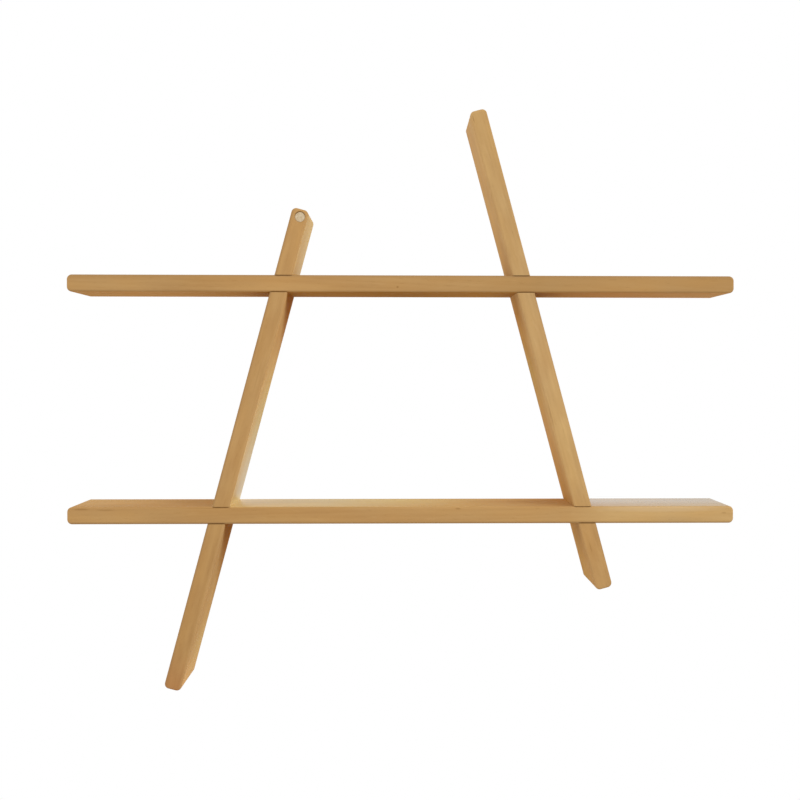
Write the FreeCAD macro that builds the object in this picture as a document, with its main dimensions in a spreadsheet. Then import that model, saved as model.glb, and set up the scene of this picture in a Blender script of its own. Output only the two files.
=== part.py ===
"""Wall shelf: two level boards crossed by two leaning uprights, held by halving joints.

Millimetres. +X runs right along the shelves, +Y points into the wall and +Z up. The origin lies on the
wall plane, in the middle of the upper shelf's back edge, so the front edges are at Y = -board_depth.
"""
import FreeCAD, Part
import math
import os
import Sketcher

# Driving dimensions: name, value and meaning. Lengths in mm, angles in degrees.
SIZES = (
    ("shelf_length", 900, "length of both shelves"),
    ("board_depth", 120, "depth of every board, from the wall to the front edge"),
    ("board_thick", 23, "thickness of every board"),
    ("shelf_spacing", 312.4, "height between the shelves' middle planes"),
    ("lean", 15, "lean of the uprights from the vertical"),
    ("upper_span", 327.4, "distance between the uprights' centre lines at the upper shelf"),
    ("long_reach", 242.8, "length of an upright past its shelf at the long end"),
    ("short_reach", 103.7, "length of an upright past its shelf at the short end"),
    ("corner_round", 6.5, "radius of the board corners seen from the front"),
    ("edge_round", 3, "radius along the front edges of the boards"),
    ("lap_depth", 60, "depth of the uprights' notches, from the front edge"),
    ("lap_play", 0.15, "clearance on each side of a notch"),
    ("plug_dia", 13.4, "diameter of the round plug"),
    ("plug_thick", 6, "thickness of the round plug"),
    ("plug_sink", 0.5, "depth of the plug's face below the upright's front edge"),
    ("plug_chamfer", 0.3, "bevel round the plug's face"),
    ("plug_play", 0.6, "clearance round the plug, as a radius"),
    ("plug_settle", 0.9, "share of that clearance by which the plug lies low in its bore"),
    ("plug_settle_turn", 38, "direction of that shift, turned to the right from straight down the upright"),
    ("plug_inset", 10.3, "distance of the bore's centre from the upright's top end"),
    ("plug_aside", 1.4, "distance of the bore's centre to the right of the upright's centre line"),
    ("hanger_span", 600, "distance between the two hanger plates"),
    ("plate_length", 42, "length of a hanger plate"),
    ("plate_height", 15, "height of a hanger plate, with half-round ends"),
    ("plate_thick", 2, "thickness of a hanger plate"),
    ("plate_sink", 0.3, "depth of a plate's outer face below the back edge"),
    ("plate_play", 0.15, "clearance round a plate in its recess"),
    ("entry_dia", 8, "diameter of the keyhole's round entry"),
    ("entry_drop", 2.2, "depth of the entry's centre below the plate's middle"),
    ("slot_width", 4.2, "width of the keyhole's slot"),
    ("slot_rise", 5.8, "height of the slot's upper centre above the entry's centre"),
    ("head_room", 7, "depth of the pocket behind a plate, for the head of the wall screw"),
    ("head_margin", 1, "margin of that pocket round the keyhole"),
    ("plate_screw_gap", 30, "distance between the two screws of a plate"),
    ("plate_screw_dia", 3, "diameter of a plate screw's shank"),
    ("plate_screw_head", 6, "diameter of a plate screw's countersunk head"),
    ("plate_screw_length", 16, "length of a plate screw"),
    ("plate_screw_cone", 90, "full angle of a plate screw's countersunk head"),
    ("joint_screw_dia", 4.5, "diameter of a joint screw's shank"),
    ("joint_screw_head", 9, "diameter of a joint screw's head"),
    ("joint_head_height", 3.2, "height of a joint screw's head"),
    ("joint_screw_length", 50, "length of a joint screw below its head"),
    ("joint_screw_seat", 30, "depth of a joint screw's seat from the upright's back edge"),
    ("joint_head_play", 0.5, "clearance round a joint screw's head"),
    ("screw_play", 0.1, "clearance round a screw's shank and past its point"),
)

LEFT, RIGHT = -1, 1
SIDES = ((LEFT, "left"), (RIGHT, "right"))
FLAT_TOLERANCE = 1e-6

doc = FreeCAD.newDocument("WallShelf")
sheet = doc.addObject("Spreadsheet::Sheet", "Dims")
for row, (name, size, meaning) in enumerate(SIZES, start=1):
    sheet.set(f"A{row}", meaning)
    sheet.set(f"B{row}", str(size))
    sheet.setAlias(f"B{row}", name)
doc.recompute()

# Lengths that follow from the driving dimensions
UPRIGHT_PITCH = "(Dims.shelf_spacing / cos(Dims.lean))"
UPRIGHT_LENGTH = f"(Dims.long_reach + Dims.short_reach + {UPRIGHT_PITCH})"
LOWER_SPAN = "(Dims.upper_span + 2 * Dims.shelf_spacing * tan(Dims.lean))"
SHELF_LAP = "(Dims.board_depth - Dims.lap_depth)"
NOTCH_WIDTH = "(Dims.board_thick + 2 * Dims.lap_play)"
NOTCH_RUN = f"(({NOTCH_WIDTH} + Dims.board_thick) / cos(Dims.lean))"
PLATE_FLOOR = "(Dims.plate_sink + Dims.plate_thick)"
BORE_HEIGHT = "(Dims.short_reach - Dims.plug_inset)"
PLUG_SHIFT = "(Dims.plug_play * Dims.plug_settle)"
SLOT_MIDDLE = "(Dims.slot_rise / 2 - Dims.entry_drop)"
CONE_DEPTH = "((Dims.plate_screw_head - Dims.plate_screw_dia) / 2 / tan(Dims.plate_screw_cone / 2))"


def bind(obj, bindings):
    """Tie properties of an object to expressions on the sheet."""
    for path, expression in bindings.items():
        obj.setExpression(path, expression)


def signed(side, expression):
    """The expression for the left or right side of the middle plane."""
    return f"{side} * {expression}"


def new_body(label):
    body = doc.addObject("PartDesign::Body", label)
    body.Label = label
    return body


def origin_plane(body, role):
    return next(feature for feature in body.Origin.OriginFeatures if feature.Role == role)


def front_sketch(body, name, across="0", up="0", ahead="0", turn="0"):
    """A sketch seen from the front, with its origin at (across, up) and `ahead` of the wall plane."""
    sketch = body.newObject("Sketcher::SketchObject", name)
    sketch.AttachmentSupport = [(origin_plane(body, "XZ_Plane"), "")]
    sketch.MapMode = "FlatFace"
    bind(sketch, {
        "AttachmentOffset.Base.x": across,
        "AttachmentOffset.Base.y": up,
        "AttachmentOffset.Base.z": ahead,
        "AttachmentOffset.Rotation.Angle": turn,
    })
    return sketch


def constrain(sketch, kind, *where):
    return sketch.addConstraint(Sketcher.Constraint(kind, *where))


def drive(sketch, expression, kind, *where):
    """Add a dimension whose value follows an expression."""
    index = sketch.addConstraint(Sketcher.Constraint(kind, *where, 1.0))
    sketch.setExpression(f"Constraints[{index}]", expression)


def closed_lines(sketch, points):
    """Straight lines through the points and back to the first."""
    corners = [FreeCAD.Vector(x, y, 0) for x, y in points]
    for start, end in zip(corners, corners[1:] + corners[:1]):
        sketch.addGeometry(Part.LineSegment(start, end), False)
    for line in range(len(corners)):
        constrain(sketch, "Coincident", line, 2, (line + 1) % len(corners), 1)


def rectangle(sketch, width, height):
    """A rectangle round the sketch's origin."""
    closed_lines(sketch, ((-1, -1), (1, -1), (1, 1), (-1, 1)))
    for line in (0, 2):
        constrain(sketch, "Horizontal", line)
    for line in (1, 3):
        constrain(sketch, "Vertical", line)
    constrain(sketch, "Symmetric", 0, 1, 2, 1, -1, 1)
    drive(sketch, width, "DistanceX", 0, 1, 0, 2)
    drive(sketch, height, "DistanceY", 1, 1, 1, 2)


def circle(sketch, diameter):
    """A circle round the sketch's origin."""
    sketch.addGeometry(Part.Circle(FreeCAD.Vector(), FreeCAD.Vector(0, 0, 1), 1), False)
    constrain(sketch, "Coincident", 0, 3, -1, 1)
    drive(sketch, diameter, "Diameter", 0)


def obround(sketch, length, width):
    """A level slot with half-round ends round the sketch's origin."""
    up = FreeCAD.Vector(0, 0, 1)
    for middle, first in ((1, -math.pi / 2), (-1, math.pi / 2)):
        end = Part.Circle(FreeCAD.Vector(middle, 0, 0), up, 1)
        sketch.addGeometry(Part.ArcOfCircle(end, first, first + math.pi), False)
    sketch.addGeometry(Part.LineSegment(FreeCAD.Vector(1, 1, 0), FreeCAD.Vector(-1, 1, 0)), False)
    sketch.addGeometry(Part.LineSegment(FreeCAD.Vector(-1, -1, 0), FreeCAD.Vector(1, -1, 0)), False)
    for first, second in ((0, 2), (2, 1), (1, 3), (3, 0)):
        constrain(sketch, "Coincident", first, 2, second, 1)
    for end in (0, 1):
        constrain(sketch, "PointOnObject", end, 3, -1)
        constrain(sketch, "Vertical", end, 3, end, 1)
        constrain(sketch, "Vertical", end, 3, end, 2)
    constrain(sketch, "Equal", 0, 1)
    drive(sketch, f"({width}) / 2", "Radius", 0)
    drive(sketch, f"(({length}) - ({width})) / 2", "DistanceX", -1, 1, 0, 3)
    drive(sketch, f"(({length}) - ({width})) / 2", "DistanceX", 1, 3, -1, 1)


def pad(body, sketch, thickness):
    """Raise a sketch towards the front."""
    feature = body.newObject("PartDesign::Pad", sketch.Name + "_pad")
    feature.Profile = sketch
    bind(feature, {"Length": thickness})
    doc.recompute()
    return feature


def pocket(body, sketch, depth, from_front=False):
    """Cut a sketch into the body, from the wall side unless it starts at the front."""
    before = body.Shape.Volume
    feature = body.newObject("PartDesign::Pocket", sketch.Name + "_pocket")
    feature.Profile = sketch
    feature.Reversed = not from_front
    bind(feature, {"Length": depth})
    doc.recompute()
    if not body.Shape.Volume < before:
        raise RuntimeError(f"{feature.Name} removes nothing")
    return feature


def edge_names(shape, wanted):
    return [f"Edge{number}" for number, edge in enumerate(shape.Edges, start=1) if wanted(edge)]


def depth_edges(shape):
    """Names of the edges that run from the front to the back of a shape."""
    return edge_names(shape, lambda edge: edge.BoundBox.YLength > FLAT_TOLERANCE)


def front_rim(shape):
    """Names of the edges round the front face of a shape."""
    front = shape.BoundBox.YMin
    return edge_names(shape, lambda edge: edge.BoundBox.YMax - front < FLAT_TOLERANCE)


def round_edges(body, base, edges, radius, name):
    feature = body.newObject("PartDesign::Fillet", name)
    feature.Base = (base, edges)
    bind(feature, {"Radius": radius})
    doc.recompute()
    return feature


def board(label, length, thick, across="0", up="0"):
    """A board with rounded corners and an eased front, square where it meets the wall."""
    body = new_body(label)
    sketch = front_sketch(body, label + "_outline", across, up)
    rectangle(sketch, length, thick)
    blank = pad(body, sketch, "Dims.board_depth")
    corners = round_edges(body, blank, depth_edges(blank.Shape), "Dims.corner_round", label + "_corners")
    round_edges(body, corners, front_rim(corners.Shape), "Dims.edge_round", label + "_easing")
    return body


def screw_hole(body, name, depth, diameter, across="0", up="0", ahead="0"):
    """A round hole bored from the wall side, starting `ahead` of the wall plane."""
    sketch = front_sketch(body, name, across, up, ahead)
    circle(sketch, diameter)
    pocket(body, sketch, depth)


def shelf(label, span):
    """A shelf notched from the back for both uprights."""
    body = board(label, "Dims.shelf_length", "Dims.board_thick")
    for side, word in SIDES:
        middle = signed(side, f"{span} / 2")
        notch = front_sketch(body, f"{label}_{word}_notch", across=middle, turn=signed(side, "Dims.lean"))
        rectangle(notch, NOTCH_WIDTH, NOTCH_RUN)
        pocket(body, notch, SHELF_LAP)
    return body


def joint_pilots(body):
    """Blind holes for the joint screws, in the floors of the lower shelf's notches."""
    bite = f"Dims.joint_screw_seat + Dims.joint_screw_length - {SHELF_LAP} + Dims.screw_play"
    for side, word in SIDES:
        screw_hole(body, f"{word}_joint_pilot", bite, "Dims.joint_screw_dia + 2 * Dims.screw_play",
                   across=signed(side, f"{LOWER_SPAN} / 2"), ahead=SHELF_LAP)


def hanger_recess(body, side, word):
    """Recess for a hanger plate, with its screw holes and room for the head of a wall screw."""
    middle = signed(side, "Dims.hanger_span / 2")
    seat = front_sketch(body, f"{word}_plate_seat", across=middle)
    obround(seat, "Dims.plate_length + 2 * Dims.plate_play", "Dims.plate_height + 2 * Dims.plate_play")
    pocket(body, seat, PLATE_FLOOR)
    room = front_sketch(body, f"{word}_head_room", across=middle, up=SLOT_MIDDLE, ahead=PLATE_FLOOR,
                        turn="90")
    obround(room, "Dims.slot_rise + Dims.entry_dia + 2 * Dims.head_margin",
            "Dims.entry_dia + 2 * Dims.head_margin")
    pocket(body, room, "Dims.head_room")
    bite = "Dims.plate_screw_length - Dims.plate_thick + Dims.screw_play"
    for end, end_word in SIDES:
        across = f"{middle} + {signed(end, 'Dims.plate_screw_gap / 2')}"
        screw_hole(body, f"{word}_plate_{end_word}_pilot", bite,
                   "Dims.plate_screw_dia + 2 * Dims.screw_play", across=across, ahead=PLATE_FLOOR)


def set_on_upright(body, side):
    """Place a body in an upright's own frame: origin where its centre line meets the upper shelf."""
    body.Placement = FreeCAD.Placement(FreeCAD.Vector(), FreeCAD.Rotation(FreeCAD.Vector(0, 1, 0), 1))
    bind(body, {
        "Placement.Base.x": signed(side, "Dims.upper_span / 2"),
        "Placement.Rotation.Angle": signed(-side, "Dims.lean"),
    })


def upright(label, side, upper_reach):
    """A leaning board notched from the front for both shelves, with a stepped hole for a joint screw."""
    middle = f"{upper_reach} - {UPRIGHT_LENGTH} / 2"
    body = board(label, "Dims.board_thick", UPRIGHT_LENGTH, up=middle)
    lower = signed(-1, UPRIGHT_PITCH)
    for word, height in (("upper", "0"), ("lower", lower)):
        notch = front_sketch(body, f"{label}_{word}_notch", up=height, ahead="Dims.board_depth",
                             turn=signed(-side, "Dims.lean"))
        rectangle(notch, NOTCH_RUN, NOTCH_WIDTH)
        pocket(body, notch, "Dims.lap_depth", from_front=True)
    screw_hole(body, label + "_screw_seat", "Dims.joint_screw_seat",
               "Dims.joint_screw_head + 2 * Dims.joint_head_play", up=lower)
    screw_hole(body, label + "_screw_hole", f"{SHELF_LAP} - Dims.joint_screw_seat",
               "Dims.joint_screw_dia + 2 * Dims.screw_play", up=lower, ahead="Dims.joint_screw_seat")
    set_on_upright(body, side)
    return body


def round_plug():
    """The plug on the floor of its bore, low in it, with a bevelled face below the upright's front edge."""
    body = new_body("round_plug")
    sketch = front_sketch(body, "plug_outline",
                          across=f"Dims.plug_aside + {PLUG_SHIFT} * sin(Dims.plug_settle_turn)",
                          up=f"{BORE_HEIGHT} - {PLUG_SHIFT} * cos(Dims.plug_settle_turn)",
                          ahead="Dims.board_depth - Dims.plug_sink - Dims.plug_thick")
    circle(sketch, "Dims.plug_dia")
    blank = pad(body, sketch, "Dims.plug_thick")
    bevel = body.newObject("PartDesign::Chamfer", "plug_bevel")
    bevel.Base = (blank, front_rim(blank.Shape))
    bind(bevel, {"Size": "Dims.plug_chamfer"})
    doc.recompute()
    set_on_upright(body, LEFT)
    return body


def plug_bore(body):
    """Blind bore for the plug, near the top end of the left upright."""
    sketch = front_sketch(body, "plug_bore", across="Dims.plug_aside", up=BORE_HEIGHT,
                          ahead="Dims.board_depth")
    circle(sketch, "Dims.plug_dia + 2 * Dims.plug_play")
    pocket(body, sketch, "Dims.plug_sink + Dims.plug_thick", from_front=True)


def hanger_plate(label, side):
    """Flat plate with half-round ends, a keyhole that narrows upwards and two countersunk screw holes."""
    body = new_body(label)
    outline = front_sketch(body, label + "_outline", ahead="Dims.plate_sink")
    obround(outline, "Dims.plate_length", "Dims.plate_height")
    pad(body, outline, "Dims.plate_thick")
    screw_hole(body, label + "_entry", "Dims.plate_thick", "Dims.entry_dia",
               up="-1 * Dims.entry_drop", ahead="Dims.plate_sink")
    slot = front_sketch(body, label + "_slot", up=SLOT_MIDDLE, ahead="Dims.plate_sink", turn="90")
    obround(slot, "Dims.slot_rise + Dims.slot_width", "Dims.slot_width")
    pocket(body, slot, "Dims.plate_thick")
    for end, end_word in SIDES:
        sketch = front_sketch(body, f"{label}_{end_word}_hole", ahead="Dims.plate_sink",
                              across=signed(end, "Dims.plate_screw_gap / 2"))
        circle(sketch, "Dims.plate_screw_dia")
        hole = body.newObject("PartDesign::Hole", sketch.Name + "_countersunk")
        hole.Profile = sketch
        doc.recompute()
        hole.Reversed = True
        hole.DepthType = "ThroughAll"
        hole.HoleCutType = "Countersink"
        hole.HoleCutCustomValues = True
        bind(hole, {
            "Diameter": "Dims.plate_screw_dia + 2 * Dims.screw_play",
            "HoleCutDiameter": "Dims.plate_screw_head + 2 * Dims.screw_play",
            "HoleCutCountersinkAngle": "Dims.plate_screw_cone",
        })
        doc.recompute()
    bind(body, {"Placement.Base.x": signed(side, "Dims.hanger_span / 2")})
    return body


def screw(label, profile, across, up, ahead):
    """A screw turned from a half profile of (radius, distance below its top), pointing to the front."""
    body = new_body(label)
    sketch = body.newObject("Sketcher::SketchObject", label + "_profile")
    sketch.AttachmentSupport = [(origin_plane(body, "XY_Plane"), "")]
    sketch.MapMode = "FlatFace"
    rough_points = [(min(corner, 2), -corner) for corner in range(len(profile))]
    closed_lines(sketch, rough_points)
    for corner, (radius, below) in enumerate(profile):
        drive(sketch, radius, "DistanceX", -1, 1, corner, 1)
        drive(sketch, f"-1 * ({below})", "DistanceY", -1, 1, corner, 1)
    turned = body.newObject("PartDesign::Revolution", label + "_turned")
    turned.Profile = sketch
    turned.ReferenceAxis = (sketch, ["V_Axis"])
    turned.Angle = 360
    bind(body, {
        "Placement.Base.x": across,
        "Placement.Base.y": f"-1 * ({ahead})",
        "Placement.Base.z": up,
    })
    doc.recompute()
    return body


def group(label, bodies):
    """Several separate solids under one name."""
    compound = doc.addObject("Part::Compound", label)
    compound.Label = label
    compound.Links = bodies
    doc.recompute()
    return compound


def plate_screws():
    """Two countersunk screws for each hanger plate."""
    profile = (
        ("0", "0"),
        ("Dims.plate_screw_head / 2", "0"),
        ("Dims.plate_screw_dia / 2", CONE_DEPTH),
        ("Dims.plate_screw_dia / 2", "Dims.plate_screw_length - Dims.plate_screw_dia"),
        ("0", "Dims.plate_screw_length"),
    )
    bodies = []
    for side, word in SIDES:
        for end, end_word in SIDES:
            across = f"{signed(side, 'Dims.hanger_span / 2')} + {signed(end, 'Dims.plate_screw_gap / 2')}"
            bodies.append(screw(f"{word}_plate_{end_word}_screw", profile, across,
                                up="0", ahead="Dims.plate_sink"))
    return group("hanger_screws", bodies)


def joint_screws():
    """A screw through the back of each upright into the lower shelf, its head in the stepped hole."""
    tip = "Dims.joint_head_height + Dims.joint_screw_length"
    profile = (
        ("0", "0"),
        ("Dims.joint_screw_head / 2", "0"),
        ("Dims.joint_screw_head / 2", "Dims.joint_head_height"),
        ("Dims.joint_screw_dia / 2", "Dims.joint_head_height"),
        ("Dims.joint_screw_dia / 2", f"{tip} - Dims.joint_screw_dia"),
        ("0", tip),
    )
    bodies = []
    for side, word in SIDES:
        bodies.append(screw(f"{word}_joint_screw", profile, across=signed(side, f"{LOWER_SPAN} / 2"),
                            up="-1 * Dims.shelf_spacing",
                            ahead="Dims.joint_screw_seat - Dims.joint_head_height"))
    return group("joint_screws", bodies)


upper_shelf = shelf("upper_shelf", "Dims.upper_span")
for side, word in SIDES:
    hanger_recess(upper_shelf, side, word)
lower_shelf = shelf("lower_shelf", LOWER_SPAN)
joint_pilots(lower_shelf)
bind(lower_shelf, {"Placement.Base.z": "-1 * Dims.shelf_spacing"})
left_upright = upright("left_upright", LEFT, "Dims.short_reach")
plug_bore(left_upright)
right_upright = upright("right_upright", RIGHT, "Dims.long_reach")
pieces = [
    upper_shelf,
    lower_shelf,
    left_upright,
    right_upright,
    round_plug(),
    hanger_plate("left_hanger", LEFT),
    hanger_plate("right_hanger", RIGHT),
    plate_screws(),
    joint_screws(),
]
doc.recompute()

for obj in doc.Objects:
    if {"Invalid", "Error"} & set(obj.State):
        raise RuntimeError(f"{obj.Label} did not build: {obj.State}")
for piece in pieces:
    if piece.Shape.isNull() or not piece.Shape.isValid():
        raise RuntimeError(f"{piece.Label} has no valid shape")

os.makedirs("parts", exist_ok=True)
for piece in pieces:
    piece.Shape.exportStep(os.path.join("parts", piece.Label + ".step"))
    print(f"{piece.Label}: {len(piece.Shape.Solids)} solids, {piece.Shape.Volume / 1000:.2f} cm3")
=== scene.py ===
"""Looks of the wall shelf: camera, light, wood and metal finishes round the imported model. Metres."""
import math
from dataclasses import dataclass

import bmesh
import bpy
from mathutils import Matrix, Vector


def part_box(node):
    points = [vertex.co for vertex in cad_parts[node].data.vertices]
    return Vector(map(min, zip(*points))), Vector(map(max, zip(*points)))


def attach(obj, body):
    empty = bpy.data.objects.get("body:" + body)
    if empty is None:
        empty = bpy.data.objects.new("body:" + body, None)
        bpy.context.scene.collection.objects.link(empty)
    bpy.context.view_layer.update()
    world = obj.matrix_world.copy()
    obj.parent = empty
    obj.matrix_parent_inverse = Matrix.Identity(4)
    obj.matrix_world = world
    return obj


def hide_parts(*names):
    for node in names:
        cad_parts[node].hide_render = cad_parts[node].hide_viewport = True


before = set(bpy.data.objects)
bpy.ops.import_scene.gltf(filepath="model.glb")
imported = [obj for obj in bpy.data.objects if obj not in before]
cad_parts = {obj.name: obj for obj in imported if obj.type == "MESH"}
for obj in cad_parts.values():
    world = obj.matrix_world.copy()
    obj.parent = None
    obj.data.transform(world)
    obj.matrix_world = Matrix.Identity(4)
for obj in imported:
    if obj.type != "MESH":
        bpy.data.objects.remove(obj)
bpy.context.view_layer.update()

# Camera that took the photograph, in the part's frame: metres, degrees and pixels of its 800 x 800 frame
IMAGE_SIZE = 800
FOCAL_PIXELS = 1380.86
AXIS_PIXEL = (438.22, 388.67)
CAMERA_PLACE = (-0.00701, -1.98362, -0.12329)
CAMERA_YAW = -1.694
CAMERA_PITCH = -0.558
CAMERA_ROLL = -0.045
SENSOR_WIDTH = 36.0

# Soft square lamps: place, side length and watts; each looks at the middle of the shelf
LAMP_AIM = (0.0, -0.06, -0.15)
LAMPS = {
    "key": ((3.6, -3.0, 1.4), 3.0, 54.0),
    "high_key": ((3.2, -2.6, 3.0), 3.0, 33.0),
    "left_fill": ((-3.0, -2.6, 2.2), 3.0, 44.0),
    "left_side": ((-3.9, 0.0, 0.0), 3.0, 16.0),
    "back_left": ((-3.0, 3.0, 0.6), 3.0, 39.0),
    "back_right": ((3.75, 1.5, 1.6), 3.0, 56.0),
}
AMBIENT = 0.755
WHITE = (1, 1, 1, 1)

# Floor below the hung shelf, kept short of the camera's view
FLOOR_LEVEL = -1.8
FLOOR_X = (-2.8, 2.8)
FLOOR_Y = (-4.0, 2.6)
FLOOR_LIGHT = (0.65, 0.62, 0.58, 1)
FLOOR_DARK = (0.62, 0.59, 0.55, 1)
FLOOR_MOTTLE = ((3.0, 3.0, 3.0), 4.0)
FLOOR_ROUGH = 0.9

# Boards: lean of the uprights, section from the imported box, and the front edge's place in a board's frame
LEAN = math.radians(15)
SHELF_LOW, SHELF_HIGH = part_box("upper_shelf")
BOARD_DEPTH = SHELF_HIGH.y - SHELF_LOW.y
BOARD_THICK = SHELF_HIGH.z - SHELF_LOW.z
FRONT = -BOARD_DEPTH / 2

# Directions that sides look along, turns that lay the grain along a board, and the cosines off a direction
# between which a face comes to count as looking along it
UPWARD = (0, 0, 1)
DOWNWARD = (0, 0, -1)
RIGHTWARD = (math.cos(LEAN), 0, -math.sin(LEAN))
LEFTWARD = (-math.cos(LEAN), 0, -math.sin(LEAN))
LEVEL_TURN = 0.0
LEFT_TURN = math.radians(-90) + LEAN
RIGHT_TURN = math.radians(-90) - LEAN
FACING = (0.75, 0.95)

# Honey oak, linear colours
OAK_EARLY = (0.462, 0.264, 0.100, 1)
OAK_LATE = (0.476, 0.275, 0.106, 1)
OAK_PORE = (0.235, 0.110, 0.030, 1)
OAK_RAY = (0.545, 0.335, 0.145, 1)
# Painted highlight for arrises, painted shade for seams, and a darker tone for arrises
OAK_ARRIS_HIGHLIGHT = (0.570, 0.352, 0.155, 1)
OAK_SEAM_SHADE = (0.270, 0.125, 0.035, 1)
OAK_ARRIS_DARK = (0.320, 0.190, 0.085, 1)
# Painted sheen
OAK_PAINTED_SHEEN = (0.620, 0.440, 0.240, 1)

# Growth of the log: width of a ring, how far rings wander in ring widths, the log's bend, and the radius at
# which angles round the pith are turned into lengths
RING_WIDTH = 0.0055
RING_WANDER = 3.4
LOG_BEND = 0.012
ARC_RADIUS = 0.10
# Shares of a ring over which late wood comes and goes, and the late wood at which pores are none and full
RING_RISE, RING_FALL = (0.0, 0.70), (0.72, 1.0)
PORE_ZONE = (0.85, 0.25)

# Noise in the wood: waves per metre along the grain and both ways across it, and octaves; and the shift
# that keeps the blush from following the clouds
GRAIN = {
    "sway": ((2.2, 7.0, 7.0), 1.0),
    "wander": ((1.6, 45.0, 9.0), 2.0),
    "fibre": ((7.0, 520.0, 520.0), 3.0),
    "vessel": ((75.0, 950.0, 950.0), 1.0),
    "ray": ((38.0, 75.0, 1300.0), 1.0),
    "streak": ((5.0, 170.0, 170.0), 2.0),
    "shelf_cloud": ((7.0, 40.0, 70.0), 3.0),
    "upright_cloud": ((24.0, 40.0, 120.0), 3.0),
    "blush": ((13.0, 45.0, 45.0), 1.0),
}
BLUSH_SHIFT = (3.0, 1.0, 2.0)
# Levels of a noise: nearly all of it, its steep middle, and those between which vessels, rays and streaks
# come to show
NOISE_SPAN = (0.30, 0.70)
NOISE_MIDDLE = (0.35, 0.65)
VESSEL_TOP, RAY_TOP, STREAK_TOP = (0.63, 0.72), (0.64, 0.74), (0.62, 0.74)
# How strongly each shows: late wood from least to most, then the others
LATE_SHARE = (0.15, 0.95)
FIBRE_SHARE, RAY_SHARE, PORE_SHARE, STREAK_SHARE = 0.30, 0.20, 0.16, 0.08
# Tints at the low and the high parts of the soft patches
CLOUD_TINTS = ((0.94, 0.925, 0.915), (1.04, 1.055, 1.055))
BLUSH_TINTS = ((1.01, 0.99, 0.95), (0.99, 1.01, 1.05))
# Share of a mark's half size over which it has its full strength
MARK_CORE = 0.3

# Painted shade: tints that darken the wood where shade falls, on undersides, in inner corners, and on the
# side of an upright below a shelf
UNDERSIDE_SHADE = (1.0, 0.89, 0.72)
CORNER_SHADE = (0.86, 0.77, 0.62, 1)
SHADED = (0.56, 0.34, 0.07, 1)
# Where the painted shadow below a shelf starts to thin out: distance below the shelf as a share of the depth
SHADE_START = 0.2
# Reach of the painted shade in inner corners and in seams, the openness between which it ends, and seams'
# strength
CORNER_REACH, CORNER_OPEN = 0.06, (0.60, 0.86)
SEAM_REACH, SEAM_OPEN, SEAM_SHARE = 0.006, (0.25, 0.80), 0.60
# Distances from an arris between which its painted highlight or darker tone ends
ARRIS = (0.0008, 0.0042)

# Lacquer: dull on most faces, polished where a board's polish says so; what pores and fibres do to it
DULL_ROUGH, POLISHED_ROUGH = 0.74, 0.30
FIBRE_ROUGH, PORE_ROUGH = 0.05, 0.12
DULL_SPECULAR, POLISH_SPECULAR = 0.015, 0.36
LATE_RELIEF, RELIEF_STRENGTH, RELIEF_DEPTH = 0.35, 0.35, 0.00012
POLISH_FLATTENS = 0.3
# Polish at the front edge as a share of that further back, and the depth over which it grows
FRONT_POLISH, POLISH_DEPTH = 0.72, 0.085
# How much of a side's painted light and shade is gone at the front edge, on dull wood, and what polish takes
# off that
FRONT_FADE, POLISH_HOLD = 0.90, 0.40

# Pale wood of the plug, its grain upright: waves per metre along X, Y and Z with octaves, and colours
PLUG_GRAIN = {
    "streak": ((900.0, 900.0, 110.0), 3.0),
    "mottle": ((330.0, 330.0, 330.0), 2.0),
    "fleck": ((2600.0, 2600.0, 420.0), 1.0),
}
PLUG_TONES = ((0.560, 0.435, 0.276), (0.700, 0.585, 0.410))
PLUG_STREAK, PLUG_STREAK_SHARE = (0.490, 0.350, 0.190, 1), 0.35
PLUG_FLECK, PLUG_FLECK_SHARE, FLECK_TOP = (0.330, 0.200, 0.100, 1), 0.5, (0.58, 0.70)
PLUG_ROUGH = (0.78, 0.68)
PLUG_RELIEF = (0.3, 0.0001)
# Glue line round the plug, metres: clearance of its bore, the bore's centre from the plug's, the plug's
# bevel, and the depths below the plug's face between which the glue stands
PLUG_PLAY = 0.0006
BORE_OFFSET = (-0.00021, 0.00050)
PLUG_BEVEL = 0.0003
GLUE_TOP, GLUE_BOTTOM = 0.0004, 0.0010
PLUG_SIDES = 72
PLUG_INNER_RING = 0.5
# Painted shade in the glue line: dark round the gap but for one side, left pale: direction, and shares of
# the radius that way
GLUE_SHADED = (0.270, 0.145, 0.048, 1)
GLUE_UNSHADED = (0.560, 0.390, 0.215, 1)
UNSHADED_SIDE = (-0.8, 0, -0.6)
UNSHADED_REACH = (0.2, 0.8)

# Zinc plating: light and dark colour, and the nodes that have it; then its noise, in waves per metre
ZINC = {
    "zinc_plate": ((0.60, 0.60, 0.59, 1), (0.48, 0.48, 0.47, 1), ("left_hanger", "right_hanger")),
    "yellow_zinc": ((0.66, 0.58, 0.38, 1), (0.52, 0.44, 0.28, 1), ("hanger_screws", "joint_screws")),
}
SPANGLE, SPANGLE_SHARE = (420.0, 420.0, 420.0), 0.12
ROLLED, ROLLED_ROUGH = ((160.0, 2400.0, 2400.0), 2.0), 0.18
PATCH, PATCH_ROUGH = ((130.0, 130.0, 130.0), 3.0), (0.24, 0.38)
ZINC_RELIEF = (0.2, 0.00005)

# Screws, metres: radius of the head, radius over the thread, pitch, and the part of the length with thread
HANGER_SCREW = {"head": 0.003, "shank": 0.0015, "pitch": 0.0011, "threaded": 0.80}
JOINT_SCREW = {"head": 0.0045, "shank": 0.00225, "pitch": 0.0020, "threaded": 0.60}
# Thread's core as a share of its radius, the head's rim, the tip's length in shank radii and its bluntness,
# the slope of the thread's crest, and rings of points per turn
CORE_SHARE = 0.68
RIM = 0.00025
TIP_LENGTHS = 1.8
TIP_BLUNT = 0.08
CREST_SLOPE = 3
RINGS_PER_TURN = 8
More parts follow.
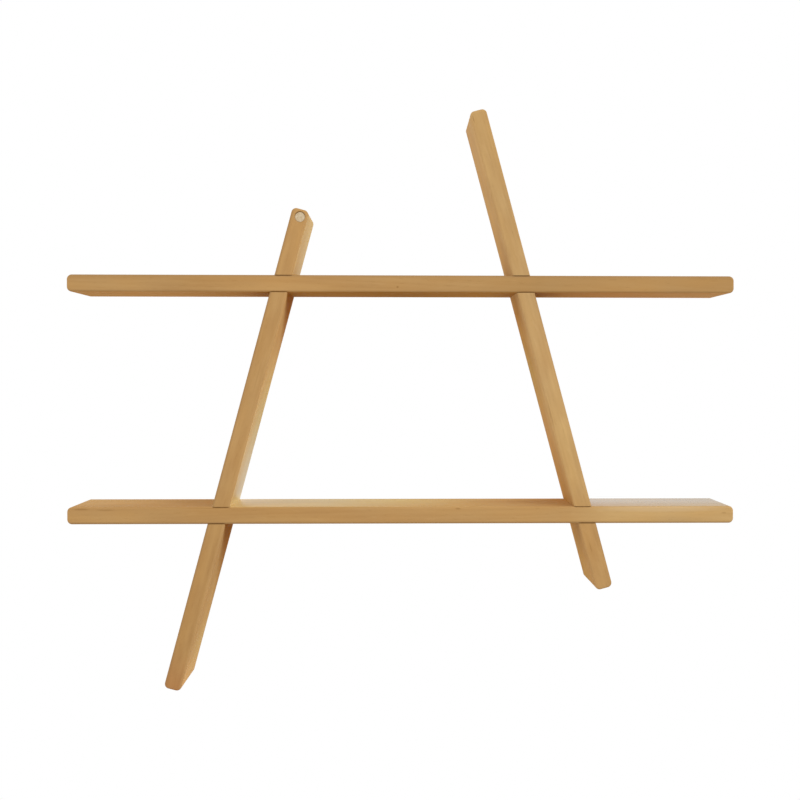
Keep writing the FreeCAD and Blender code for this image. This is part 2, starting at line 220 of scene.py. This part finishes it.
# Cross recess, in shares of the head's radius: arm length, half width, depth, and the floor's scale; and the
# points round the head between two arms, as shares of a quarter turn
RECESS_ARM, RECESS_HALF, RECESS_DEPTH, RECESS_FLOOR = 0.52, 0.12, 0.55, 0.55
BETWEEN_ARMS = (0.33, 0.5, 0.67)
SHARP_ANGLE = math.radians(35)

# Stops for a board without a tint, an underside's usual painted shade, and wood without polish
EVEN = ((0.0, 1.0),)
PLAIN_UNDER_SHADE = ((0.0, UNDERSIDE_SHADE),)
DULL = ((0.0, 0.0),)


@dataclass
class Board:
    """Oak of one board. Stops are (place along the board from its middle, tint); a plain number is grey."""

    turn: float  # lays the grain along the board
    pith: tuple  # centre of the log off the board's middle, through its depth and its thickness
    tilt: tuple  # slant of the log to the board
    cloud: str  # noise of its soft patches
    drift: tuple  # stops of the whole board's tint
    side: tuple  # direction of the side that has a tint and a polish of its own
    # Arris tones: pale ones are a painted highlight, dark ones only darken
    arris_tones: tuple  # how pale, or below zero how dark, the front arrises are: high side, low side
    # The underside's tint is painted light and shade
    underside_light_and_shade: tuple = PLAIN_UNDER_SHADE  # stops of the underside's tint
    # The next two are painted light, shade and sheen on that side, the second towards its front
    side_light_and_shade: tuple = EVEN  # stops of that side's tint
    side_polish: tuple = DULL  # stops of its polish
    front_light_and_shade: tuple = EVEN  # stops of what tints it towards the front
    # Marks are flecks, but for one long pale mark, which is a painted sheen
    marks: tuple = ()  # flecks: middle, half size, strength, colour
    # Shelves whose shadow is painted on that side
    shades: tuple = ()  # shelves that shade that side, and the share of the depth at which the shade ends


BOARDS = {
    "upper_shelf": Board(
        turn=LEVEL_TURN, pith=(0.035, -0.085), tilt=(0.012, 0.030), cloud="shelf_cloud",
        drift=((-0.45, 0.98), (-0.30, 0.97), (-0.17, 1.05), (0.10, 0.99), (0.18, 0.89), (0.27, 0.95),
               (0.45, 0.93)),
        side=UPWARD, arris_tones=(-0.55, -0.20),
        underside_light_and_shade=((-0.45, (1.16, 1.06, 0.86)), (-0.30, (1.19, 1.08, 0.85)), (-0.12, (0.82, 0.66, 0.25)),
               (0.0, (0.73, 0.57, 0.20)), (0.12, (0.97, 0.81, 0.38)), (0.30, (1.15, 0.98, 0.78)),
               (0.45, (1.29, 1.19, 1.07))),
        side_polish=((0.0, 0.15),),
        marks=(((-0.0068, FRONT, -0.0044), (0.0020, 0.004, 0.0020), 0.60, OAK_PORE),)),
    "lower_shelf": Board(
        turn=LEVEL_TURN, pith=(-0.030, -0.110), tilt=(-0.010, -0.022), cloud="shelf_cloud",
        drift=((-0.45, 1.01), (-0.18, 0.98), (-0.06, 1.04), (0.22, 1.03), (0.28, (1.15, 1.27, 1.40)),
               (0.45, (1.16, 1.28, 1.40))),
        side=UPWARD, arris_tones=(0.0, -0.50),
        side_light_and_shade=((-0.45, (1.10, 1.13, 1.08)), (-0.30, (1.06, 1.02, 0.92)), (-0.26, (1.10, 1.05, 0.92)),
                   (-0.235, (1.75, 2.25, 2.60)), (-0.215, (1.35, 1.62, 1.40)), (-0.17, (1.22, 1.45, 1.30)),
                   (-0.10, (1.12, 1.36, 1.22)), (0.0, (1.20, 1.39, 1.24)), (0.11, (1.16, 1.19, 1.14)),
                   (0.24, (1.12, 1.02, 0.84)), (0.26, (0.72, 0.72, 0.66)), (0.45, (0.55, 0.57, 0.52))),
        side_polish=((-0.45, 0.10), (-0.33, 0.03), (-0.26, 0.0), (-0.235, 0.95), (-0.17, 0.76),
                     (-0.10, 0.68), (0.0, 0.30), (0.10, 0.05), (0.24, 0.0), (0.26, 1.13), (0.45, 1.10)),
        front_light_and_shade=((-0.45, (1.06, 1.04, 0.98)), (-0.28, 1.03), (-0.23, (1.20, 1.28, 1.32)),
                    (-0.10, (1.14, 1.20, 1.16)), (0.06, (1.12, 1.16, 1.10)), (0.24, 1.04), (0.27, 1.0)),
        marks=(((-0.431, FRONT, 0.0088), (0.014, 0.006, 0.0018), 0.42, OAK_PORE),
               ((-0.398, FRONT, 0.0075), (0.016, 0.006, 0.0016), 0.24, OAK_PORE),
               ((0.075, FRONT, 0.0088), (0.005, 0.005, 0.0015), 0.40, OAK_PORE),
               ((0.437, FRONT, 0.0025), (0.0045, 0.005, 0.0016), 0.30, OAK_PORE),
               # Painted sheen along the front's upper edge at the right end
               ((0.350, FRONT, 0.0080), (0.110, 0.012, 0.0060), 0.55, OAK_PAINTED_SHEEN),
               ((0.320, FRONT, -0.0010), (0.012, 0.008, 0.0022), 0.35, OAK_RAY),
               ((0.360, FRONT, -0.0055), (0.090, 0.008, 0.0040), 0.10, OAK_PORE),
               ((-0.262, FRONT, 0.0100), (0.050, 0.006, 0.0011), 0.30, OAK_PORE))),
    "left_upright": Board(
        turn=LEFT_TURN, pith=(0.040, 0.070), tilt=(0.008, 0.026), cloud="upright_cloud",
        drift=((-0.34, (0.91, 0.74, 0.68)), (-0.28, (0.95, 0.94, 0.93)), (-0.12, 0.97), (0.0, 1.03),
               (0.15, 1.02), (0.27, 1.05), (0.34, 1.05)),
        side=RIGHTWARD, arris_tones=(-0.50, 0.40),
        side_light_and_shade=((-0.34, (1.34, 1.60, 1.62)), (-0.235, (1.14, 1.17, 1.13)), (-0.09, (1.18, 1.17, 1.05)),
                   (-0.08, (1.60, 2.20, 2.60)), (-0.064, (1.10, 1.36, 1.22)), (-0.03, (1.08, 1.32, 1.20)),
                   (0.0, (1.08, 1.31, 1.14)), (0.045, (1.12, 1.34, 1.14)), (0.08, (1.23, 1.43, 1.34)),
                   (0.159, (1.18, 1.16, 1.15)), (0.222, (1.22, 1.18, 1.08)), (0.245, (1.16, 1.38, 1.26)),
                   (0.34, (1.26, 1.46, 1.26))),
        side_polish=((-0.34, 0.15), (-0.25, 0.0), (-0.10, 0.0), (-0.08, 0.95), (-0.03, 0.82), (0.0, 0.70),
                     (0.076, 0.20), (0.14, 0.0), (0.225, 0.0), (0.245, 0.50), (0.34, 0.42)),
        front_light_and_shade=((-0.34, (1.50, 1.62, 1.56)), (-0.29, 1.14), (-0.25, 1.08), (-0.12, 1.08),
                    (-0.08, (1.22, 1.28, 1.28)), (0.0, (1.16, 1.20, 1.18)), (0.10, (1.19, 1.23, 1.20)),
                    (0.22, (1.18, 1.20, 1.15)), (0.25, (1.14, 1.20, 1.12)), (0.34, (1.14, 1.20, 1.12))),
        marks=(((0.187, FRONT, -0.0090), (0.020, 0.006, 0.0014), 0.18, OAK_PORE),
               ((0.100, FRONT, -0.0020), (0.030, 0.006, 0.0012), 0.14, OAK_PORE)),
        shades=(("lower_shelf", 1.42), ("upper_shelf", 0.91))),
    "right_upright": Board(
        turn=RIGHT_TURN, pith=(-0.045, -0.075), tilt=(-0.014, 0.018), cloud="upright_cloud",
        drift=((-0.34, 1.05), (-0.24, 1.03), (-0.20, (1.12, 1.20, 1.29)), (-0.11, (1.20, 1.33, 1.46)),
               (-0.03, (1.15, 1.23, 1.34)), (0.06, (1.10, 1.17, 1.26)), (0.34, (1.11, 1.20, 1.29))),
        side=LEFTWARD, arris_tones=(0.30, -0.20),
        side_light_and_shade=((-0.34, (1.01, 0.99, 0.79)), (-0.24, (1.05, 0.95, 0.73)), (-0.193, (0.97, 0.82, 0.54)),
                   (-0.11, (0.92, 0.79, 0.67)), (-0.03, (0.91, 0.87, 0.62)), (0.056, (0.96, 0.75, 0.43)),
                   (0.11, (1.02, 0.96, 0.84)), (0.18, (1.03, 1.00, 0.92)), (0.34, (0.94, 0.89, 0.89))),
        front_light_and_shade=((-0.34, 1.0), (-0.15, (0.96, 0.93, 0.87)), (0.0, (0.97, 0.95, 0.90)), (0.12, 1.0)),
        marks=(((0.286, FRONT, 0.0055), (0.008, 0.005, 0.0026), 0.30, OAK_RAY),
               ((0.324, FRONT, 0.0085), (0.007, 0.006, 0.0010), 0.50, OAK_PORE),
               ((-0.086, FRONT, 0.0100), (0.028, 0.006, 0.0012), 0.35, OAK_PORE),
               ((-0.276, FRONT, 0.0040), (0.010, 0.005, 0.0010), 0.30, OAK_PORE))),
}


class Finish:
    """A node material, with short calls that add nodes and link their inputs."""

    def __init__(self, name):
        self.material = bpy.data.materials.new(name)
        self.material.use_nodes = True
        self.nodes = self.material.node_tree.nodes
        self.links = self.material.node_tree.links
        self.shader = self.nodes["Principled BSDF"]

    def feed(self, socket, value):
        if isinstance(value, bpy.types.NodeSocket):
            self.links.new(value, socket)
        else:
            socket.default_value = value

    def set(self, **inputs):
        for name, value in inputs.items():
            self.feed(self.shader.inputs[name.replace("_", " ")], value)

    def place(self):
        return self.nodes.new("ShaderNodeTexCoord").outputs["Object"]

    def math(self, operation, *values):
        node = self.nodes.new("ShaderNodeMath")
        node.operation = operation
        for socket, value in zip(node.inputs, values):
            self.feed(socket, value)
        return node.outputs[0]

    def times(self, *values):
        product = values[0]
        for value in values[1:]:
            product = self.math("MULTIPLY", product, value)
        return product

    def less(self, value, taken):
        return self.math("SUBTRACT", value, taken)

    def vector(self, operation, *values):
        node = self.nodes.new("ShaderNodeVectorMath")
        node.operation = operation
        for socket, value in zip(node.inputs, values):
            self.feed(socket, value)
        return node.outputs["Value" if operation in ("LENGTH", "DOT_PRODUCT") else "Vector"]

    def split(self, vector):
        node = self.nodes.new("ShaderNodeSeparateXYZ")
        self.feed(node.inputs[0], vector)
        return node.outputs

    def join(self, x, y, z):
        node = self.nodes.new("ShaderNodeCombineXYZ")
        for socket, value in zip(node.inputs, (x, y, z)):
            self.feed(socket, value)
        return node.outputs[0]

    def into(self, vector, location, rotation):
        """Coordinates in a frame that sits at location and is turned by rotation."""
        node = self.nodes.new("ShaderNodeMapping")
        node.vector_type = "TEXTURE"
        self.feed(node.inputs["Vector"], vector)
        self.feed(node.inputs["Location"], location)
        self.feed(node.inputs["Rotation"], rotation)
        return node.outputs[0]

    def noise(self, vector, stretch, detail, output="Fac"):
        node = self.nodes.new("ShaderNodeTexNoise")
        self.feed(node.inputs["Vector"], self.vector("MULTIPLY", vector, stretch))
        node.inputs["Scale"].default_value = 1.0
        node.inputs["Detail"].default_value = detail
        return node.outputs[output]

    def cells(self, vector, stretch):
        """Cells of one colour each."""
        node = self.nodes.new("ShaderNodeTexVoronoi")
        self.feed(node.inputs["Vector"], self.vector("MULTIPLY", vector, stretch))
        node.inputs["Scale"].default_value = 1.0
        return node.outputs["Color"]

    def step(self, value, low, high, at_low=0.0, at_high=1.0):
        """Smooth step from at_low to at_high between two values."""
        node = self.nodes.new("ShaderNodeMapRange")
        node.interpolation_type = "SMOOTHSTEP"
        for socket, entry in zip(node.inputs, (value, low, high, at_low, at_high)):
            self.feed(socket, entry)
        return node.outputs[0]

    def ramp(self, factor, stops):
        """Colour that runs through (factor, colour) stops."""
        node = self.nodes.new("ShaderNodeValToRGB")
        self.feed(node.inputs[0], factor)
        elements = node.color_ramp.elements
        while len(elements) < len(stops):
            elements.new(1.0)
        while len(elements) > len(stops):
            elements.remove(elements[-1])
        for element, (position, colour) in zip(elements, stops):
            element.position = position
            element.color = (*colour, 1)
        return node.outputs[0]

    def blend(self, noise, colours):
        """Two colours, from the low to the high parts of a noise."""
        return self.ramp(noise, list(zip(NOISE_SPAN, colours)))

    def mix(self, factor, first, second, blend="MIX"):
        node = self.nodes.new("ShaderNodeMix")
        node.data_type = "RGBA"
        node.blend_type = blend
        self.feed(node.inputs[0], factor)
        self.feed(node.inputs[6], first)
        self.feed(node.inputs[7], second)
        return node.outputs[2]

    def tint(self, factor, colour, tint):
        return self.mix(factor, colour, tint, "MULTIPLY")

    def bump(self, height, strength, distance):
        node = self.nodes.new("ShaderNodeBump")
        self.feed(node.inputs["Strength"], strength)
        node.inputs["Distance"].default_value = distance
        self.feed(node.inputs["Height"], height)
        return node.outputs[0]

    def crevice(self, reach):
        """Openness of the surroundings within a reach, from 0 in a gap to 1."""
        node = self.nodes.new("ShaderNodeAmbientOcclusion")
        node.samples = 8
        node.inputs["Distance"].default_value = reach
        return node.outputs["AO"]

    def facing(self, direction):
        """1 on faces that look along a direction, 0 on the others."""
        normal = self.nodes.new("ShaderNodeTexCoord").outputs["Normal"]
        return self.step(self.vector("DOT_PRODUCT", normal, direction), *FACING)

    def dress(self, node_name):
        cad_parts[node_name].material_slots[0].material = self.material


class Oak(Finish):
    """Oak of one board: rings, pores and rays of a log about its pith, so that the end grain agrees."""

    def __init__(self, node_name, board):
        super().__init__("oak_" + node_name)
        self.node_name = node_name
        self.board = board
        low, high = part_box(node_name)
        self.reach = (high - low).length / 2
        self.spot = self.into(self.place(), (low + high) / 2, (0, board.turn, 0))
        self.x, y, self.z = self.split(self.spot)
        self.from_front = self.math("ADD", y, BOARD_DEPTH / 2)
        self.near_front = self.step(self.from_front, 0.0, POLISH_DEPTH, 1.0, 0.0)
        self.on_side = self.facing(board.side)
        self.shine = self.along(board.side_polish)
        self.grow()
        colour = self.wood()
        for layer in (self.add_marks, self.add_painted_light_and_shade, self.add_shades, self.add_painted_edges):
            colour = layer(colour)
        self.lacquer(colour)

    def along(self, stops):
        """Tint that runs along the board through its stops."""
        share = self.math("MULTIPLY_ADD", self.x, 0.5 / self.reach, 0.5)
        shares = [place * 0.5 / self.reach + 0.5 for place, _ in stops]
        tints = [tint if isinstance(tint, tuple) else (tint, tint, tint) for _, tint in stops]
        return self.ramp(share, list(zip(shares, tints)))

    def grow(self):
        """Log coordinates, and the rings, fibres and pores in them."""
        sway = self.vector("SUBTRACT", self.noise(self.spot, *GRAIN["sway"], "Color"), (0.5, 0.5, 0.5))
        bent = self.vector("ADD", self.spot, self.vector("MULTIPLY", sway, (0, LOG_BEND, LOG_BEND)))
        log = self.into(bent, (0, *self.board.pith), (0, *self.board.tilt))
        log_x, log_y, log_z = self.split(log)
        radius = self.vector("LENGTH", self.vector("MULTIPLY", log, (0, 1, 1)))
        arc = self.times(self.math("ARCTAN2", log_z, log_y), ARC_RADIUS)
        self.log = self.join(log_x, radius, arc)
        wander = self.noise(self.log, *GRAIN["wander"])
        rings = self.math("MULTIPLY_ADD", wander, RING_WANDER, self.math("DIVIDE", radius, RING_WIDTH))
        ring = self.math("FRACT", rings)
        self.late = self.times(self.step(ring, *RING_RISE), self.step(ring, *RING_FALL, 1.0, 0.0))
        self.fibre = self.noise(self.log, *GRAIN["fibre"])
        vessel = self.step(self.noise(self.log, *GRAIN["vessel"]), *VESSEL_TOP)
        self.pore = self.times(vessel, self.step(self.late, *PORE_ZONE))

    def wood(self):
        """Colour of the bare wood, with soft patches and the drift along the board."""
        ray = self.step(self.noise(self.log, *GRAIN["ray"]), *RAY_TOP)
        streak = self.step(self.noise(self.log, *GRAIN["streak"]), *STREAK_TOP)
        colour = self.mix(self.step(self.late, 0.0, 1.0, *LATE_SHARE), OAK_EARLY, OAK_LATE)
        colour = self.mix(self.step(self.fibre, *NOISE_MIDDLE, FIBRE_SHARE, 0.0), colour, OAK_EARLY)
        colour = self.mix(self.times(ray, RAY_SHARE), colour, OAK_RAY)
        colour = self.mix(self.times(self.pore, PORE_SHARE), colour, OAK_PORE)
        colour = self.mix(self.times(streak, STREAK_SHARE), colour, OAK_PORE)
        cloud = self.noise(self.spot, *GRAIN[self.board.cloud])
        blush = self.noise(self.vector("ADD", self.spot, BLUSH_SHIFT), *GRAIN["blush"])
        patches = (self.blend(cloud, CLOUD_TINTS), self.blend(blush, BLUSH_TINTS))
        for tint in (*patches, self.along(self.board.drift)):
            colour = self.tint(1.0, colour, tint)
        return colour

    def add_marks(self, colour):
        for middle, half_size, strength, tone in self.board.marks:
            gone = self.vector("DIVIDE", self.vector("SUBTRACT", self.spot, middle), half_size)
            fleck = self.step(self.vector("LENGTH", gone), MARK_CORE, 1.0, strength, 0.0)
            colour = self.mix(fleck, colour, tone)
        return colour

    def add_painted_light_and_shade(self, colour):
        """Painted light and shade on the underside and on the board's own side, where it changes towards the
        front.
        """
        colour = self.tint(self.facing(DOWNWARD), colour, self.along(self.board.underside_light_and_shade))
        fade = self.times(self.near_front, self.math("MULTIPLY_ADD", self.shine, -POLISH_HOLD, FRONT_FADE))
        tinted = self.times(self.on_side, self.less(1.0, fade))
        colour = self.tint(tinted, colour, self.along(self.board.side_light_and_shade))
        lifted = self.times(self.on_side, self.near_front)
        return self.tint(lifted, colour, self.along(self.board.front_light_and_shade))

    def add_shades(self, colour):
        """Painted shadow of shelves on the board's own side below them, which reaches further down towards
        the back.
        """
        for shelf, end in self.board.shades:
            below = self.less(shelf_edge(self.node_name, shelf), self.x)
            thin = self.step(self.math("DIVIDE", below, self.from_front), SHADE_START, end, 1.0, 0.0)
            shade = self.times(self.on_side, thin, self.math("GREATER_THAN", below, 0.0))
            colour = self.tint(shade, colour, SHADED)
        return colour

    def add_painted_edges(self, colour):
        """Painted shade in inner corners and seams; front arrises painted paler as a highlight, or darker.
        """
        spared = self.math("MAXIMUM", self.on_side, self.facing(UPWARD))
        # Painted shade in inner corners
        corner = self.less(self.step(self.crevice(CORNER_REACH), *CORNER_OPEN, 1.0, 0.0), spared)
        colour = self.tint(corner, colour, CORNER_SHADE)
        from_side = self.less(BOARD_THICK / 2, self.math("ABSOLUTE", self.z))
        arris = self.step(self.math("MAXIMUM", self.from_front, from_side), *ARRIS, 1.0, 0.0)
        high_side = self.times(arris, self.math("GREATER_THAN", self.z, 0.0))
        for arris_side, arris_tone in zip((high_side, self.less(arris, high_side)), self.board.arris_tones):
            tone = OAK_ARRIS_HIGHLIGHT if arris_tone > 0 else OAK_ARRIS_DARK
            colour = self.mix(self.times(arris_side, abs(arris_tone)), colour, tone)
        # Painted shade in the seams between parts
        seam_shade = self.step(self.crevice(SEAM_REACH), *SEAM_OPEN, SEAM_SHARE, 0.0)
        return self.mix(self.times(seam_shade, self.less(1.0, self.on_side)), colour, OAK_SEAM_SHADE)

    def lacquer(self, colour):
        """Shader of the lacquered wood: polish on the board's own side, which grows away from the front."""
        grown = self.math("MULTIPLY_ADD", self.near_front, FRONT_POLISH - 1, 1.0)
        polish = self.times(self.on_side, self.shine, grown)
        dull = self.step(self.fibre, *NOISE_SPAN, DULL_ROUGH + FIBRE_ROUGH, DULL_ROUGH - FIBRE_ROUGH)
        rough = self.math("MULTIPLY_ADD", polish, self.less(POLISHED_ROUGH, dull), dull)
        relief = self.less(self.math("MULTIPLY_ADD", self.late, LATE_RELIEF, self.fibre), self.pore)
        strength = self.math("MULTIPLY_ADD", polish, -POLISH_FLATTENS, RELIEF_STRENGTH)
        self.set(Base_Color=colour, Roughness=self.math("MULTIPLY_ADD", self.pore, PORE_ROUGH, rough),
                 Specular_IOR_Level=self.math("MULTIPLY_ADD", polish, POLISH_SPECULAR, DULL_SPECULAR),
                 Normal=self.bump(relief, strength, RELIEF_DEPTH))


def shelf_edge(upright, shelf):
    """Where a shelf's lower edge meets the side of an upright that looks down, along it from its middle."""
    low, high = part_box(upright)
    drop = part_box(shelf)[0].z - (low.z + high.z) / 2
    return (drop + BOARD_THICK / 2 * math.sin(LEAN)) / math.cos(LEAN)


def add_camera():
    data = bpy.data.cameras.new("camera")
    data.sensor_width = SENSOR_WIDTH
    data.lens = FOCAL_PIXELS * SENSOR_WIDTH / IMAGE_SIZE
    data.shift_x = (IMAGE_SIZE / 2 - AXIS_PIXEL[0]) / IMAGE_SIZE
    data.shift_y = (AXIS_PIXEL[1] - IMAGE_SIZE / 2) / IMAGE_SIZE
    camera = bpy.data.objects.new("camera", data)
    camera.location = CAMERA_PLACE
    camera.rotation_euler = [math.radians(a) for a in (90 + CAMERA_PITCH, CAMERA_ROLL, CAMERA_YAW)]
    bpy.context.scene.collection.objects.link(camera)
    bpy.context.scene.camera = camera


def add_world():
    """White where the camera or a reflection looks, a dimmer even light for everything else."""
    world = bpy.data.worlds.new("studio")
    world.use_nodes = True
    nodes, links = world.node_tree.nodes, world.node_tree.links
    nodes.clear()
    seen = nodes.new("ShaderNodeBackground")
    seen.inputs["Color"].default_value = WHITE
    lit = nodes.new("ShaderNodeBackground")
    lit.inputs["Color"].default_value = WHITE
    lit.inputs["Strength"].default_value = AMBIENT
    path = nodes.new("ShaderNodeLightPath")
    looking = path.outputs["Is Camera Ray"]
    for kind in ("Is Glossy Ray", "Is Transmission Ray"):
        either = nodes.new("ShaderNodeMath")
        either.operation = "MAXIMUM"
        links.new(looking, either.inputs[0])
        links.new(path.outputs[kind], either.inputs[1])
        looking = either.outputs[0]
    mix = nodes.new("ShaderNodeMixShader")
    links.new(looking, mix.inputs[0])
    links.new(lit.outputs[0], mix.inputs[1])
    links.new(seen.outputs[0], mix.inputs[2])
    output = nodes.new("ShaderNodeOutputWorld")
    links.new(mix.outputs[0], output.inputs[0])
    bpy.context.scene.world = world


def add_lamps():
    for name, (place, side, watts) in LAMPS.items():
        light = bpy.data.lights.new(name, "AREA")
        light.shape = "SQUARE"
        light.size = side
        light.energy = watts
        lamp = bpy.data.objects.new(name, light)
        lamp.location = place
        lamp.rotation_euler = (Vector(LAMP_AIM) - Vector(place)).to_track_quat("-Z", "Y").to_euler()
        lamp.visible_camera = False
        bpy.context.scene.collection.objects.link(lamp)


def add_floor():
    corners = [(x, y, FLOOR_LEVEL) for y, row in zip(FLOOR_Y, (FLOOR_X, FLOOR_X[::-1])) for x in row]
    mesh = bpy.data.meshes.new("floor")
    mesh.from_pydata(corners, [], [range(4)])
    floor = bpy.data.objects.new("floor", mesh)
    bpy.context.scene.collection.objects.link(floor)
    finish = Finish("pale_floor")
    mottle = finish.noise(finish.place(), *FLOOR_MOTTLE)
    colour = finish.mix(mottle, FLOOR_DARK, FLOOR_LIGHT)
    finish.set(Base_Color=colour, Roughness=FLOOR_ROUGH, Specular_IOR_Level=0.0)
    mesh.materials.append(finish.material)


def add_pale_wood():
    """Close-grained pale wood of the plug, mottled, and the glue round it with painted shade in the gap."""
    finish = Finish("pale_wood")
    place = finish.place()
    streak = finish.noise(place, *PLUG_GRAIN["streak"])
    fleck = finish.step(finish.noise(place, *PLUG_GRAIN["fleck"]), *FLECK_TOP)
    colour = finish.blend(finish.noise(place, *PLUG_GRAIN["mottle"]), PLUG_TONES)
    colour = finish.mix(finish.step(streak, *NOISE_MIDDLE, PLUG_STREAK_SHARE, 0.0), colour, PLUG_STREAK)
    colour = finish.mix(finish.times(fleck, PLUG_FLECK_SHARE), colour, PLUG_FLECK)
    low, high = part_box("round_plug")
    radius = (high.x - low.x) / 2
    gone = finish.vector("MULTIPLY", finish.vector("SUBTRACT", place, (low + high) / 2), (1, 0, 1))
    rim = finish.step(finish.vector("LENGTH", gone), radius - PLUG_BEVEL, radius)
    unshaded_way = finish.vector("DOT_PRODUCT", gone, UNSHADED_SIDE)
    unshaded = finish.step(unshaded_way, *(share * radius for share in UNSHADED_REACH))
    # Glue line and plug bevel: painted shade but for the pale side
    colour = finish.mix(rim, colour, finish.mix(unshaded, GLUE_SHADED, GLUE_UNSHADED))
    finish.set(Base_Color=colour, Roughness=finish.step(streak, *NOISE_SPAN, *PLUG_ROUGH),
               Specular_IOR_Level=DULL_SPECULAR, Normal=finish.bump(streak, *PLUG_RELIEF))
    finish.dress("round_plug")


def add_zinc(name, light, dark, node_names):
    """Plated steel: fine rolled streaks, dull spangle and rubbed patches."""
    finish = Finish(name)
    place = finish.place()
    rolled = finish.noise(place, *ROLLED)
    patch = finish.noise(place, *PATCH)
    colour = finish.mix(finish.step(patch, *NOISE_MIDDLE), light, dark)
    colour = finish.mix(SPANGLE_SHARE, colour, finish.cells(place, SPANGLE), "SOFT_LIGHT")
    patch_rough = finish.step(patch, *NOISE_SPAN, *PATCH_ROUGH)
    finish.set(Base_Color=colour, Metallic=1.0, Normal=finish.bump(rolled, *ZINC_RELIEF),
               Roughness=finish.math("MULTIPLY_ADD", rolled, ROLLED_ROUGH, patch_rough))
    for node_name in node_names:
        finish.dress(node_name)


def add_finishes():
    for node_name, board in BOARDS.items():
        Oak(node_name, board).dress(node_name)
    add_pale_wood()
    for name, look in ZINC.items():
        add_zinc(name, *look)


def recess_reach(angle):
    """Distance from the middle of a cross recess to its outline, in shares of the head's radius."""
    off_arm = abs((angle + math.pi / 4) % (math.pi / 2) - math.pi / 4)
    if off_arm < math.atan2(RECESS_HALF, RECESS_ARM) + 1e-6:
        return RECESS_ARM / math.cos(off_arm)
    return RECESS_HALF / math.sin(off_arm)


def screw_rings(length, size):
    """Rings of one screw from the recess floor to the tip: depth below the head's top, radius by angle."""
    head, shank, pitch = size["head"], size["shank"], size["pitch"]
    core = shank * CORE_SHARE
    tip = TIP_LENGTHS * shank
    plain_end = length * (1 - size["threaded"])
    rings = [(RECESS_DEPTH * head, lambda angle: head * RECESS_FLOOR * recess_reach(angle)),
             (0.0, lambda angle: head * recess_reach(angle)),
             (0.0, lambda angle: head - RIM),
             (RIM, lambda angle: head),
             (head - core + RIM, lambda angle: core)]
    count = round((length - plain_end) / pitch * RINGS_PER_TURN)
    for step in range(count):
        depth = plain_end + (length - plain_end) * step / count
        full = min(1.0, (depth - plain_end) / pitch) * min(1.0, (length - depth) / tip)

        def radius(angle, depth=depth, full=full):
            turn = (depth / pitch - angle / math.tau) % 1.0
            crest = max(0.0, 1 - CREST_SLOPE * abs(turn - 0.5))
            return core * min(1.0, TIP_BLUNT + (length - depth) / tip) + (shank - core) * crest * full

        rings.append((depth, radius))
    return rings


def skin(form, start, rings, end):
    """Closed skin through rings of points, drawn together at a point before the first and after the last."""
    loops = [[form.verts.new(point) for point in ring] for ring in rings]
    for near, far in zip(loops, loops[1:]):
        for a in range(len(near)):
            b = (a + 1) % len(near)
            form.faces.new((near[a], near[b], far[b], far[a]))
    for point, loop in ((start, loops[0]), (end, loops[-1])):
        tip = form.verts.new(point)
        for a in range(len(loop)):
            form.faces.new((tip, loop[a], loop[(a + 1) % len(loop)]))


def add_piece(form, node_name):
    """Object of a finished form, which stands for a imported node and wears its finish."""
    bmesh.ops.recalc_face_normals(form, faces=form.faces)
    mesh = bpy.data.meshes.new(node_name + "_detailed")
    form.to_mesh(mesh)
    form.free()
    mesh.shade_smooth()
    mesh.set_sharp_from_angle(angle=SHARP_ANGLE)
    mesh.materials.append(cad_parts[node_name].material_slots[0].material)
    piece = bpy.data.objects.new(node_name + "_detailed", mesh)
    bpy.context.scene.collection.objects.link(piece)
    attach(piece, "root")
    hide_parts(node_name)


def add_screws(node_name, size, places):
    """Countersunk screws with a cross recess and a turned thread, driven from the wall side."""
    low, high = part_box(node_name)
    corner = math.atan2(RECESS_HALF, RECESS_ARM)
    quarter = math.pi / 2
    turns = (-corner, 0, corner, *(quarter * share for share in BETWEEN_ARMS))
    angles = [quarter * arm + turn for arm in range(4) for turn in turns]
    rings = screw_rings(high.y - low.y, size)
    form = bmesh.new()
    for x, z in places:
        loops = [[(x + radius(angle) * math.cos(angle), high.y - depth, z + radius(angle) * math.sin(angle))
                  for angle in angles] for depth, radius in rings]
        skin(form, (x, high.y - rings[0][0], z), loops, (x, low.y, z))
    add_piece(form, node_name)


def add_fasteners():
    """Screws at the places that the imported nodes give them."""
    low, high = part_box("hanger_screws")
    level = (low.z + high.z) / 2
    hangers = [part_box(node_name) for node_name in ("left_hanger", "right_hanger")]
    middles = [(left.x + right.x) / 2 for left, right in hangers]
    aside = high.x - HANGER_SCREW["head"] - middles[1]
    places = [(x + side, level) for x in middles for side in (-aside, aside)]
    add_screws("hanger_screws", HANGER_SCREW, places)
    low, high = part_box("joint_screws")
    level = (low.z + high.z) / 2
    head = JOINT_SCREW["head"]
    add_screws("joint_screws", JOINT_SCREW, [(x, level) for x in (low.x + head, high.x - head)])


def add_plug():
    """Bevelled plug with the line of glue that stands in the gap round it."""
    low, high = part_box("round_plug")
    x, z = (low.x + high.x) / 2, (low.z + high.z) / 2
    radius = (high.x - low.x) / 2
    angles = [math.tau * turn / PLUG_SIDES for turn in range(PLUG_SIDES)]

    def ring(depth, reach, offset=(0.0, 0.0)):
        across, up = offset
        return [(x + across + reach * math.cos(angle), low.y + depth, z + up + reach * math.sin(angle))
                for angle in angles]

    bore = radius + PLUG_PLAY
    rings = [ring(0.0, radius * PLUG_INNER_RING), ring(0.0, radius - PLUG_BEVEL), ring(PLUG_BEVEL, radius),
             ring(GLUE_TOP, radius), ring(GLUE_TOP, bore, BORE_OFFSET), ring(GLUE_BOTTOM, bore, BORE_OFFSET),
             ring(GLUE_BOTTOM, radius), ring(high.y - low.y, radius)]
    form = bmesh.new()
    skin(form, (x, low.y, z), rings, (x, high.y, z))
    add_piece(form, "round_plug")


add_camera()
add_world()
add_lamps()
add_floor()
add_finishes()
add_fasteners()
add_plug()
bpy.context.scene.view_settings.view_transform = "Standard"
